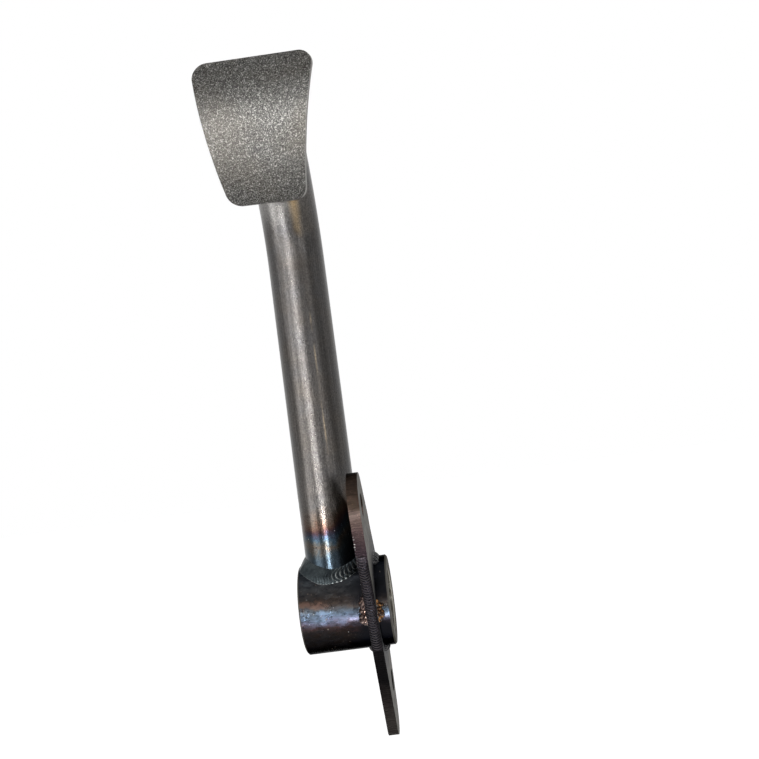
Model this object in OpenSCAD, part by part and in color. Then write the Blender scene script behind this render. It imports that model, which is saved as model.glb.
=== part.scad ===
// Fabricated clutch pedal: a pivot hub carries a bent tube arm and a two-ended
// lever plate, and a bowed pad closes the arm's upper end. All joints are welded.
// X runs along the pivot bore, Z up the arm, and the pad's face looks along -Y.

/* [Pivot hub] */
// Outside diameter of the hub
hub_od = 50; // [46:1:56]
// Length of the hub along the pivot
hub_len = 50; // [46:1:60]
// Diameter of the pivot bore
hub_bore = 35; // [20:1:38]
// Chamfer at the hub's edges
hub_edge = 0.8; // [0.2:0.1:1.2]

/* [Arm tube] */
// Outside diameter of the tube
arm_od = 33; // [28:0.5:34]
// Wall of the tube
arm_wall = 2.6; // [1.6:0.1:4]
// Height of the hub's centre below the start of the bend
arm_rise = 196; // [140:1:260]
// Radius of the bend at the tube's centre line
bend_r = 88; // [80:1:120]
// Angle of the bend towards the pad
bend_deg = 45; // [38:1:50]
// Straight length from the bend to the back of the pad
arm_tip = 30; // [29:0.5:36]

/* [Lever plate] */
// Thickness of the lever plate
lever_t = 6; // [4:0.5:8]
// Length of hub that stands out beyond the plate
hub_stub = 7; // [5.5:0.5:10]
// Width of plate left round the hub
ring_w = 4.5; // [3.5:0.5:8]
// Height of the upper hole above the pivot
upper_up = 57; // [50:1:80]
// Distance of the upper hole in front of the pivot
upper_fwd = 37; // [20:1:50]
// Radius of the plate's upper end
upper_r = 17.5; // [12:0.5:22]
// Radius of the shoulder below the upper end
shoulder_r = 24; // [18:0.5:26]
// Distance of the lower end below the pivot
lower_down = 67; // [62:1:80]
// Distance of the lower end behind the pivot
lower_back = 20; // [10:1:26]
// Radius of the plate's lower end
lower_r = 14; // [10:0.5:20]
// Diameter of the two lever holes
lever_hole = 12.5; // [8:0.5:14]
// Distance of the lower hole below the pivot
hole_down = 50; // [44:1:56]
// Distance of the lower hole behind the pivot
hole_back = 19; // [12:1:22]

/* [Pad] */
// Thickness of the pad plate
pad_t = 3; // [2:0.5:5]
// Width of the pad at its upper edge, before the corners are rounded
pad_top_w = 71; // [66:1:84]
// Width of the pad at its lower edge, before the corners are rounded
pad_low_w = 44; // [38:1:60]
// Height of the pad from edge to edge
pad_h = 79; // [77:1:90]
// Radius of the pad's face, which bows towards the driver
pad_bow_r = 83; // [70:1:140]
// Radius of the pad's corners
pad_corner = 8; // [4:0.5:12]
// Angle between the pad and the arm's upper end
pad_set = 32.5; // [31:0.5:38]
// Angle of the pad turned about the arm
pad_yaw = -8; // [-12:1:6]
// Angle of the pad tipped to one side
pad_roll = 4; // [-4:1:8]
// Distance from the pad's middle up to the arm's centre line
seat_up = 13.5; // [11:0.5:15]
// Distance from the pad's middle across to the arm's centre line
seat_side = 6.7; // [-4:0.1:9]

/* [Welds] */
// Leg of the weld round the foot of the arm
foot_leg = 4.2; // [3:0.1:5]
// Leg of the welds between the hub and the plate
lever_leg = 3.8; // [2.5:0.1:4.5]
// Leg of the weld behind the pad
pad_leg = 3.6; // [2.5:0.1:4.5]
// Length of one ripple along a weld
ripple = 2.6; // [2:0.1:4]

/* [Hidden] */
$fn = 96;

steel = [0.46, 0.45, 0.44];
blued = [0.20, 0.20, 0.24];
dark = [0.24, 0.22, 0.21];
grain = [0.36, 0.34, 0.32];
bead = [0.30, 0.30, 0.33];

cut = 1;                // how far a cutter runs past what it cuts
nip = 0.02;             // how far a straight edge lies inside the round it runs into
skin = 0.03;            // clearance between a weld's facets and a round wall
dimples = 4;            // stations along one ripple
hub_r = hub_od / 2;
arm_r = arm_od / 2;
lever_x = hub_len / 2 - hub_stub - lever_t;
ring_r = hub_r + ring_w;
arm_x = lever_x - arm_r;
bend_y = -bend_r * (1 - cos(bend_deg));
bend_z = arm_rise + bend_r * sin(bend_deg);
bend_end = [arm_x, bend_y, bend_z];
arm_way = [0, -sin(bend_deg), cos(bend_deg)];
arm_front = [0, -cos(bend_deg), -sin(bend_deg)];
upper_at = [-upper_fwd, upper_up];
lower_at = [lower_back, -lower_down];
shoulder_at = [-upper_fwd * 0.6, upper_up * 0.6];
pad_back_r = pad_bow_r - pad_t;
pad_lean = bend_deg - pad_set;

function turn_x(p, a) = [p[0], p[1] * cos(a) - p[2] * sin(a), p[1] * sin(a) + p[2] * cos(a)];
function turn_y(p, a) = [p[0] * cos(a) + p[2] * sin(a), p[1], p[2] * cos(a) - p[0] * sin(a)];
function turn_z(p, a) = [p[0] * cos(a) - p[1] * sin(a), p[0] * sin(a) + p[1] * cos(a), p[2]];
function to_pad(p) = turn_y(turn_x(turn_z(p, -pad_yaw), -pad_lean), -pad_roll);
function from_pad(p) = turn_z(turn_x(turn_y(p, pad_roll), pad_lean), pad_yaw);

// The middle of the pad's back, found from the point where the arm's axis meets it
seat = [seat_side, pad_back_r - sqrt(pow(pad_back_r, 2) - pow(seat_up, 2)), seat_up];
pad_at = bend_end + arm_tip * arm_way - from_pad(seat);

// Distance along the arm's end from its bend to the pad's back, on a line that
// runs parallel to the arm's axis at an offset from it
function reach(offset) =
    let (p = to_pad(bend_end + offset - pad_at) - [0, pad_back_r, 0],
         w = to_pad(arm_way),
         a = w[1] * w[1] + w[2] * w[2],
         b = p[1] * w[1] + p[2] * w[2],
         c = p[1] * p[1] + p[2] * p[2] - pow(pad_back_r, 2))
    (sqrt(b * b - a * c) - b) / a;

// Size of a weld along its length: a row of overlapping puddles, tapered at open ends
function puddle(s) = 0.86 + 0.14 * abs(sin(180 * s / ripple));
function taper(s, total) = sqrt(max(0.04, min(1, min(s, total - s) / (1.2 * ripple))));

// One section of a weld. Its base runs from the root to one toe, and the crowned face
// from the other toe. The face's middle runs ahead, which draws each puddle's arc.
function crown(base, toe, s) =
    let (n = len(base), out = (toe + base[n - 1]) / 2 - base[0], rise = 0.42)
    [base[0], toe,
     for (t = [0.25, 0.5, 0.75])
         toe * (1 - t) + base[n - 1] * t
         + out * rise * 4 * t * (1 - t) * puddle(s + ripple * 2 * t * (1 - t)),
     for (i = [n - 1:-1:1]) base[i]];

module weld(rings, closed = false) {
    k = len(rings[0]);
    n = len(rings);
    last = closed ? n - 1 : n - 2;
    walls = [for (i = [0:last], j = [0:k - 1])
        let (a = i * k + j, b = i * k + (j + 1) % k,
             c = ((i + 1) % n) * k + (j + 1) % k, d = ((i + 1) % n) * k + j)
        each [[a, b, c], [a, c, d]]];
    ends = closed ? [] : [for (j = [1:k - 2])
        each [[0, j + 1, j], [0, j, j + 1] + (n - 1) * k * [1, 1, 1]]];
    polyhedron([for (r = rings) each r], concat(walls, ends), convexity = 6);
}

module along_x() rotate([90, 0, 90]) children();

module on_pad() translate(pad_at) rotate([0, 0, pad_yaw]) rotate([pad_lean, 0, 0])
    rotate([0, pad_roll, 0]) children();

// Hub: a turned sleeve with small chamfers outside and in
module pivot_hub() color(blued)
    rotate([0, 90, 0]) rotate_extrude() polygon([
        [hub_bore / 2, hub_edge - hub_len / 2],
        [hub_bore / 2 + hub_edge, -hub_len / 2],
        [hub_r - hub_edge, -hub_len / 2],
        [hub_r, hub_edge - hub_len / 2],
        [hub_r, hub_len / 2 - hub_edge],
        [hub_r - hub_edge, hub_len / 2],
        [hub_bore / 2 + hub_edge, hub_len / 2],
        [hub_bore / 2, hub_len / 2 - hub_edge]]);

// The arm's three lengths are one round section, carried on from both ends of the bend
module at_bend() translate([arm_x, -bend_r, arm_rise]) rotate([90, 0, 90]) children();

module section(r) translate([bend_r, 0]) circle(r);

module arm_rise_part(r) at_bend() rotate([90, 0, 0]) linear_extrude(arm_rise) section(r);

module arm_bend_part(r) at_bend() rotate_extrude(angle = bend_deg) section(r);

module arm_end_part(r) at_bend() rotate([0, 0, bend_deg]) rotate([90, 0, 0])
    translate([0, 0, -arm_tip - 2 * arm_r]) linear_extrude(arm_tip + 2 * arm_r) section(r);

// Everything on the driver's side of the pad's back surface
module beyond_pad() on_pad() difference() {
    translate([-2 * pad_top_w, -pad_back_r, -pad_h]) cube([4 * pad_top_w, 2 * pad_back_r, 3 * pad_h]);
    translate([-2 * pad_top_w - cut, pad_back_r, 0]) rotate([0, 90, 0])
        cylinder(r = pad_back_r, h = 4 * pad_top_w + 2 * cut);
}

// Arm: a bent tube, coped over the hub at its foot and trimmed to the pad's back
module arm_tube() color(steel) difference() {
    union() {
        arm_rise_part(arm_r);
        arm_bend_part(arm_r);
        difference() {
            arm_end_part(arm_r);
            beyond_pad();
        }
    }
    arm_rise_part(arm_r - arm_wall);
    arm_bend_part(arm_r - arm_wall);
    arm_end_part(arm_r - arm_wall);
    rotate([0, 90, 0]) cylinder(r = hub_r, h = 2 * arm_od + 2 * abs(arm_x), center = true);
}

module disc(at, r) translate(at) cylinder(r = r, h = lever_t);

// The straight-sided web between two discs, a hair inside their common tangents
module web(at_a, r_a, at_b, r_b) {
    way = at_b - at_a;
    turn = atan2(way[1], way[0]);
    lead = acos((r_a - r_b) / norm(way));
    up = [cos(turn + lead), sin(turn + lead)];
    down = [cos(turn - lead), sin(turn - lead)];
    linear_extrude(lever_t) polygon([
        at_a + (r_a - nip) * up, at_b + (r_b - nip) * up,
        at_b + (r_b - nip) * down, at_a + (r_a - nip) * down]);
}

// Lever: one flat plate round the hub, with an arm up and forward and one down and back
module lever_plate() color(dark) translate([lever_x, 0, 0]) along_x() difference() {
    union() {
        disc([0, 0], ring_r);
        disc(upper_at, upper_r);
        disc(shoulder_at, shoulder_r);
        disc(lower_at, lower_r);
        web([0, 0], ring_r, upper_at, upper_r);
        web(shoulder_at, shoulder_r, upper_at, upper_r);
        web([0, 0], ring_r, lower_at, lower_r);
    }
    translate([0, 0, -cut]) cylinder(r = hub_r, h = lever_t + 2 * cut);
    for (at = [upper_at, [hole_back, -hole_down]]) translate([at[0], at[1], -cut])
        cylinder(d = lever_hole, h = lever_t + 2 * cut);
}

// The pad seen square on: a trapezium with round corners
module pad_outline() {
    flare = (pad_top_w - pad_low_w) / 2;
    side = norm([flare, pad_h]);
    foot = [pad_low_w / 2 + flare * pad_corner / pad_h - pad_corner * side / pad_h, pad_corner - pad_h / 2];
    head = [pad_top_w / 2 - flare * pad_corner / pad_h - pad_corner * side / pad_h, pad_h / 2 - pad_corner];
    edge = (pad_corner - nip) * [pad_h, -flare] / side;
    tall = pad_h / 2 - nip;
    polygon([[foot[0], -tall], foot + edge, head + edge, [head[0], tall],
             [-head[0], tall], [-head[0] - edge[0], head[1] + edge[1]],
             [-foot[0] - edge[0], foot[1] + edge[1]], [-foot[0], -tall]]);
    for (c = [foot, head], m = [-1, 1]) translate([m * c[0], c[1]]) circle(pad_corner);
}

// Pad: a plate rolled to one radius
module pad_plate() color(grain) on_pad() intersection() {
    translate([0, pad_back_r, 0]) rotate([90, 0, 0]) linear_extrude(pad_bow_r + cut) pad_outline();
    translate([-pad_top_w, pad_back_r, 0]) rotate([0, 90, 0]) difference() {
        cylinder(r = pad_bow_r, h = 2 * pad_top_w);
        translate([0, 0, -cut]) cylinder(r = pad_back_r, h = 2 * pad_top_w + 2 * cut);
    }
}

// Weld round the arm's foot, from the plate round the arm and back to the plate. It is
// trimmed to the plate's face and to the hub's end, and its lower leg follows the hub.
foot_gap = 18;          // degrees of the arm's foot left bare beside the plate
foot_span = 360 - 2 * foot_gap;
foot_path = foot_span * PI / 180 * (arm_r + foot_leg / 2);
foot_n = round(foot_path / ripple) * dimples;
function foot_room(x) = min(lever_x - skin, max(hub_edge + skin - hub_len / 2, x));
function foot_spot(a, r) =
    [foot_room(arm_x + r * cos(a)), r * sin(a), sqrt(pow(hub_r + skin, 2) - pow(r * sin(a), 2))];
function foot_fall(a) = arm_r * pow(sin(a), 2) / sqrt(pow(hub_r, 2) - pow(arm_r * sin(a), 2));
function foot_ring(i) =
    let (s = foot_path * i / foot_n, a = -foot_gap - foot_span * i / foot_n,
         leg = foot_leg * puddle(s), near = arm_r + skin,
         run = leg / sqrt(1 + pow(foot_fall(a), 2)))
    crown([for (t = [0:3]) foot_spot(a, near + run * t / 3)],
          foot_spot(a, near) + [0, 0, leg], s);

module weld_arm_foot() color(bead) weld([for (i = [0:foot_n]) foot_ring(i)]);

// A weld between the hub and one face of the plate. Angles run from the pad side
// over the top of the hub, and side is 1 on the outer face and -1 on the inner.
module hub_weld(side, from, to) {
    face = lever_x + (side > 0 ? lever_t : 0);
    total = (to - from) * PI / 180 * (hub_r + lever_leg / 2);
    n = round(total / ripple) * dimples;
    rings = [for (i = [0:n])
        let (s = total * i / n, a = from + (to - from) * i / n,
             leg = lever_leg * puddle(s) * taper(s, total),
             spoke = [0, -cos(a), sin(a)], near = hub_r + skin)
        crown([[face, 0, 0] + near * spoke, [face, 0, 0] + (near + leg) * spoke],
              [face + side * leg, 0, 0] + near * spoke, s)];
    weld(side < 0 ? rings : [for (r = rings) [for (j = [len(r) - 1:-1:0]) r[j]]]);
}

module weld_lever_outer() color(bead) {
    hub_weld(1, -26, 10);
    hub_weld(1, 58, 122);
    hub_weld(1, 238, 292);
}

module weld_lever_inner() color(bead) {
    hub_weld(-1, -28, 16);
    hub_weld(-1, 218, 282);
}

// Weld behind the pad, all round the arm's end
pad_path = PI * (arm_od + pad_leg) * 1.18;
pad_n = round(pad_path / ripple) * dimples;
function pad_ring(i) =
    let (s = ripple * i / dimples, a = 360 * i / pad_n,
         out = [cos(a), 0, 0] + sin(a) * arm_front,
         near = (arm_r + skin) * out,
         tilt = (reach(near + 0.5 * out) - reach(near)) / 0.5,
         grow = 1 / sqrt(1 + tilt * tilt),
         leg = pad_leg * puddle(s),
         far = near + leg * grow * out)
    crown([bend_end + near + (reach(near) - skin) * arm_way,
           bend_end + far + (reach(far) - skin) * arm_way],
          bend_end + near + (reach(near) - skin - leg) * arm_way, s);

module weld_pad() color(bead) weld([for (i = [0:pad_n - 1]) pad_ring(i)], closed = true);

pivot_hub();
arm_tube();
lever_plate();
pad_plate();
weld_arm_foot();
weld_lever_outer();
weld_lever_inner();
weld_pad();
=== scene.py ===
import bmesh, bpy, math, random
from mathutils import Matrix, Quaternion, Vector, noise


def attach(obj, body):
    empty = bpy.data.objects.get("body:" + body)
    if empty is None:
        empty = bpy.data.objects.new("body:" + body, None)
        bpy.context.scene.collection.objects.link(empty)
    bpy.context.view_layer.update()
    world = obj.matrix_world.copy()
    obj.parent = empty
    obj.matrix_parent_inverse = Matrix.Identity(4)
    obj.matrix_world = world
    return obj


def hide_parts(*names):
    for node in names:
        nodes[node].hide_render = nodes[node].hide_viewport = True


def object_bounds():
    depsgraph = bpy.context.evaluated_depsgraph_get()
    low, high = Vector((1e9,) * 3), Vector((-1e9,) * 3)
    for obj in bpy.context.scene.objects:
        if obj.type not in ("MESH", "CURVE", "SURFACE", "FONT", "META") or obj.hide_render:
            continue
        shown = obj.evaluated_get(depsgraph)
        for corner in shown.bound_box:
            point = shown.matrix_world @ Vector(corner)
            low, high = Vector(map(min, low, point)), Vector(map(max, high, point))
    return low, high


# Welded clutch pedal. Metres, +Z up the arm, the pad's face looks along -Y.

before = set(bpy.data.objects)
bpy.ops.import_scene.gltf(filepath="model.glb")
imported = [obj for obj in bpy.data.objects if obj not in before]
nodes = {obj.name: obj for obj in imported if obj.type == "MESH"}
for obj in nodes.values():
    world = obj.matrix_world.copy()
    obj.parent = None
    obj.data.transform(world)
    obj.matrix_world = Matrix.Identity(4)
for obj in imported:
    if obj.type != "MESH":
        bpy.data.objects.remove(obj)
cadLow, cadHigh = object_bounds()
print("frame loaded:", ", ".join(sorted(nodes)))

mm = 0.001


def metres(lengths):
    return [length * mm for length in lengths]


def tint(r, g, b):
    # an sRGB colour, 0 to 255, as the linear values that a socket takes
    return tuple(c / 12.92 / 255 if c <= 10 else ((c / 255 + 0.055) / 1.055) ** 2.4 for c in (r, g, b))


# small helpers for shader trees
def put(tree, kind, props=None, **sockets):
    item = tree.nodes.new("ShaderNode" + kind)
    for key, value in (props or {}).items():
        setattr(item, key, value)
    for key, value in sockets.items():
        plug(tree, item, key.replace("_", " "), value)
    return item


def plug(tree, item, key, value):
    # a key such as i0 is a socket's number, any other is its name
    socket = item.inputs[int(key[1:]) if key[0] == "i" and key[1:].isdigit() else key]
    if isinstance(value, bpy.types.NodeSocket):
        tree.links.new(value, socket)
    else:
        socket.default_value = value


def calc(tree, operation, a, b=0.0):
    return put(tree, "Math", {"operation": operation}, i0=a, i1=b).outputs[0]


def times(tree, value, *others):
    for other in others:
        value = calc(tree, "MULTIPLY", value, other)
    return value


def plus(tree, value, *others):
    for other in others:
        value = calc(tree, "ADD", value, other)
    return value


def minus(tree, a, b):
    return calc(tree, "SUBTRACT", a, b)


def apart(tree, a, b=0.0):
    # how far two values lie apart, without a sign
    return calc(tree, "ABSOLUTE", minus(tree, a, b))


def remap(tree, value, low, high, toLow=0.0, toHigh=1.0, way="LINEAR"):
    return put(tree, "MapRange", {"interpolation_type": way}, Value=value, From_Min=low, From_Max=high,
               To_Min=toLow, To_Max=toHigh).outputs[0]


def fade(tree, value, low, high, toLow=0.0, toHigh=1.0):
    # a remap that eases in and out
    return remap(tree, value, low, high, toLow, toHigh, "SMOOTHSTEP")


def vectorCalc(tree, operation, a, b, result=0):
    return put(tree, "VectorMath", {"operation": operation}, i0=a, i1=b).outputs[result]


def speckle(tree, vector, scale, detail=2.0, roughness=0.5, distortion=0.0):
    # one scale for all directions, or three for X, Y and Z, in spots to the metre
    if isinstance(scale, tuple):
        vector, scale = vectorCalc(tree, "MULTIPLY", vector, scale), 1.0
    return put(tree, "TexNoise", Vector=vector, Scale=scale, Detail=detail,
               Roughness=roughness, Distortion=distortion).outputs[0]


def dots(tree, vector, scale):
    return put(tree, "TexVoronoi", {"feature": "F1"}, Vector=vector, Scale=scale).outputs["Distance"]


def bands(tree, value, stops):
    ramp = put(tree, "ValToRGB", Fac=value)
    points = ramp.color_ramp.elements
    while len(points) < len(stops):
        points.new(0.5)
    for point, (place, colour) in zip(points, stops):
        point.position = place
    for point, (place, colour) in zip(points, stops):
        point.color = tuple(colour) + (1.0,)
    return ramp.outputs[0]


def blendColour(tree, amount, a, b, kind="MIX"):
    mix = put(tree, "Mix", {"data_type": "RGBA", "blend_type": kind, "clamp_factor": True})
    # the colour sockets of a Mix node are its numbers 6 and 7
    for key, value in (("i0", amount), ("i6", a), ("i7", b)):
        if isinstance(value, tuple) and len(value) == 3:
            value = value + (1.0,)
        plug(tree, mix, key, value)
    return mix.outputs[2]


def bump(tree, height, distance, strength=1.0, before=None):
    item = put(tree, "Bump", Height=height, Distance=distance, Strength=strength)
    if before is not None:
        tree.links.new(before, item.inputs["Normal"])
    return item.outputs[0]


def axesOf(tree, vector):
    return tuple(put(tree, "SeparateXYZ", Vector=vector).outputs)


def surfaceNormal(tree):
    return put(tree, "NewGeometry").outputs["Normal"]


def reachFrom(tree, y, z):
    # distance from the hub's axis
    return calc(tree, "SQRT", plus(tree, times(tree, y, y), times(tree, z, z)))


def startMetal(name):
    mat = bpy.data.materials.new(name)
    mat.use_nodes = True
    tree = mat.node_tree
    tree.nodes.clear()
    out = tree.nodes.new("ShaderNodeOutputMaterial")
    shader = tree.nodes.new("ShaderNodeBsdfPrincipled")
    shader.inputs["Metallic"].default_value = 1.0
    tree.links.new(shader.outputs[0], out.inputs[0])
    place = put(tree, "TexCoord").outputs["Object"]
    return mat, tree, shader, place


def finishMetal(tree, shader, colour, rough, normal=None):
    tree.links.new(colour, shader.inputs["Base Color"])
    tree.links.new(rough, shader.inputs["Roughness"])
    if normal is not None:
        tree.links.new(normal, shader.inputs["Normal"])


def dress(target, mat):
    target.data.materials.clear()
    target.data.materials.append(mat)


# camera at the photograph's place and angle
camera = {
    "place": (0.0538, -0.4926, 0.0850),
    "right": (0.98979, 0.04892, -0.13388),
    "down": (-0.1373, 0.07499, -0.98769),
    "ahead": (-0.03828, 0.99598, 0.08094),
    "lens": 40.32,             # in mm, on a sensor 36 mm wide
    "sensor": 36.0,
}

lensData = bpy.data.cameras.new("camera")
lensData.lens = camera["lens"]
lensData.sensor_width = camera["sensor"]
lensData.clip_start, lensData.clip_end = 0.01, 50.0
eye = bpy.data.objects.new("camera", lensData)
bpy.context.scene.collection.objects.link(eye)
right, down, ahead = (Vector(camera[key]) for key in ("right", "down", "ahead"))
turn = Matrix((right, -down, -ahead)).transposed()
eye.matrix_world = Matrix.Translation(camera["place"]) @ turn.to_4x4()
bpy.context.scene.camera = eye
print("camera set")


# floor, world and lamps
studio = {
    "floorDrop": 0.40,         # floor below the lowest point of the part
    "floorSize": 24.0,
    "floorTones": ((0.93, 0.93, 0.93), (0.96, 0.96, 0.96)),
    "floorGlow": 0.70,         # how far the camera sees the floor as white
    "fill": 0.40,              # how much the surroundings light the part
}

# each lamp: its place, the point it looks at, its width and height, all in metres,
# how bright it looks along its axis, where the world is 1, its spread and its roll in degrees
lamps = {
    "padSoft": ((-0.40, -0.965, 0.36), (-0.01, -0.04, 0.28), (0.46, 0.13), 58.0, 26, 30),
    "armSoft": ((-0.27, -0.96, 0.18), (0.0, 0.0, 0.15), (0.70, 0.26), 9.0, 19, 0),
    "frontSoft": ((0.06, -1.00, 0.20), (0.0, 0.0, 0.14), (0.26, 0.30), 6.0, 22, 0),
    "footStrip": ((-0.28, -0.95, 0.00), (0.0, 0.0, 0.068), (0.20, 0.26), 240.0, 9, 0),
    "sideSoft": ((-1.00, -0.62, 0.16), (0.0, 0.0, 0.17), (0.60, 0.90), 6.2, 110, 0),
    "rightSoft": ((0.62, -0.80, 0.16), (0.0, 0.0, 0.14), (0.34, 0.50), 6.0, 40, 0),
    "hubStrip": ((-0.04, -0.87, -0.46), (0.0, 0.0, -0.01), (0.50, 0.09), 125.0, 14, 0),
    "cornerSoft": ((-0.40, -0.84, -0.12), (0.0, -0.03, 0.212), (0.20, 0.12), 175.0, 9, 0),
    "topSoft": ((0.20, -0.20, 1.20), (0.0, 0.0, 0.1), (0.70, 0.70), 0.9, 180, 0),
}


def seenDirectly(tree):
    # 1 for what the camera sees, also in or through the part, and 0 for what lights it
    rays = put(tree, "LightPath").outputs
    mirrored = calc(tree, "MAXIMUM", rays["Is Glossy Ray"], rays["Is Transmission Ray"])
    return calc(tree, "MAXIMUM", rays["Is Camera Ray"], mirrored)


def makeFloor():
    half = studio["floorSize"] / 2
    level = cadLow.z - studio["floorDrop"]
    corners = [(-half, -half, level), (half, -half, level), (half, half, level), (-half, half, level)]
    mesh = bpy.data.meshes.new("floor")
    mesh.from_pydata(corners, [], [(0, 1, 2, 3)])
    floor = bpy.data.objects.new("floor", mesh)
    bpy.context.scene.collection.objects.link(floor)
    mat = bpy.data.materials.new("paleFloor")
    mat.use_nodes = True
    tree = mat.node_tree
    shader = tree.nodes["Principled BSDF"]
    place = put(tree, "TexCoord").outputs["Object"]
    colour = blendColour(tree, speckle(tree, place, 3.0, 3.0), *studio["floorTones"])
    tree.links.new(colour, shader.inputs["Base Color"])
    shader.inputs["Roughness"].default_value = 0.9
    shader.inputs["Specular IOR Level"].default_value = 0.1
    shader.inputs["Emission Color"].default_value = (1.0, 1.0, 1.0, 1.0)
    glow = times(tree, seenDirectly(tree), studio["floorGlow"])
    tree.links.new(glow, shader.inputs["Emission Strength"])
    dress(floor, mat)


def makeWorld():
    world = bpy.data.worlds.new("studio")
    bpy.context.scene.world = world
    world.use_nodes = True
    tree = world.node_tree
    tree.nodes.clear()
    out = tree.nodes.new("ShaderNodeOutputWorld")
    level = remap(tree, seenDirectly(tree), 0.0, 1.0, studio["fill"], 1.0)
    back = put(tree, "Background", Color=(1.0, 1.0, 1.0, 1.0), Strength=level)
    tree.links.new(back.outputs[0], out.inputs[0])


def makeLamp(name, place, aim, size, glow, spread, roll):
    data = bpy.data.lights.new(name, "AREA")
    data.shape = "RECTANGLE"
    data.size, data.size_y = size
    data.spread = math.radians(spread)
    # a narrow beam holds the same power in fewer directions
    half = min(data.spread / 2, math.radians(89.9))
    share = (math.tan(half) - half) / math.tan(half)
    data.energy = glow * math.pi * size[0] * size[1] * share
    lamp = bpy.data.objects.new(name, data)
    bpy.context.scene.collection.objects.link(lamp)
    lamp.location = place
    way = Vector(aim) - Vector(place)
    lamp.rotation_mode = "QUATERNION"
    rolled = Quaternion((0.0, 0.0, 1.0), math.radians(roll))
    lamp.rotation_quaternion = way.to_track_quat("-Z", "Y") @ rolled


makeFloor()
makeWorld()
for lampName, settings in lamps.items():
    makeLamp(lampName, *settings)
print("studio set")


# arm tube: drawn steel, heat tinted above its foot, darker by the plate with painted shade, and brushed near
# the pad with a painted highlight
tube = {
    "steel": tint(72, 71, 71),
    "steelWarm": tint(77, 73, 69),
    "scale": tint(38, 36, 34),
    # brushed steel near the pad, lightened as a painted highlight
    "brushedSheen": tint(136, 134, 131),
    "straw": tint(150, 128, 94),
    # heat scale, also used as painted shade where the tube faces the plate
    "burntAndShaded": tint(26, 24, 25),
    "seam": tint(122, 110, 92),
    "grainDark": (0.76, 0.76, 0.77),
    "grainLight": (1.26, 1.26, 1.26),
    "roughness": 0.29,
    # spots to the metre along X, Y and Z
    "drawLines": (900.0, 900.0, 14.0),
    "scaleStreaks": (190.0, 190.0, 3.0),
    "fineLines": (2600.0, 2600.0, 260.0),
    "seamBreaks": (60.0, 60.0, 34.0),
    "blotches": 55.0,
    "grain": 1500.0,
    # heights in mm, from where each starts to where it is full
    "streaksFrom": (60.0, 85.0),
    "brushedSheenFrom": (214.0, 236.0),
    "strawFrom": (208.0, 240.0),
    "burntAndShadedBelow": (70.0, 35.0),
    "seamFrom": (60.0, 95.0),
    "seamBelow": (185.0, 165.0),
    # across the tube in mm: the middle and half the width of two stripes
    "seamAt": 1.2, "seamHalf": 0.7,
    "strawAt": 0.8, "strawHalf": 4.2,
    "tintSpan": (20.0, 60.0),  # heights in mm where the tint bands begin and end
    "tintEdge": 10.0,          # how softly they end, in mm
    "tintClimb": 15.0,         # how far they climb towards the plate, in mm
    "tintWave": 3.0,           # how far they wander, in mm
    "tints": [
        (0.00, tint(37, 44, 50)), (0.22, tint(38, 46, 52)), (0.30, tint(46, 50, 52)),
        (0.36, tint(60, 54, 48)), (0.41, tint(51, 53, 53)), (0.47, tint(39, 52, 62)),
        (0.54, tint(37, 38, 48)), (0.60, tint(46, 33, 34)), (0.66, tint(62, 47, 40)),
        (0.76, tint(68, 60, 54)), (0.92, tint(70, 66, 63)), (1.00, tint(69, 67, 65)),
    ],
    "pit": 0.06,               # depth of the pits in mm
    "draw": 0.03,              # depth of the draw lines in mm
}


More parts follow.
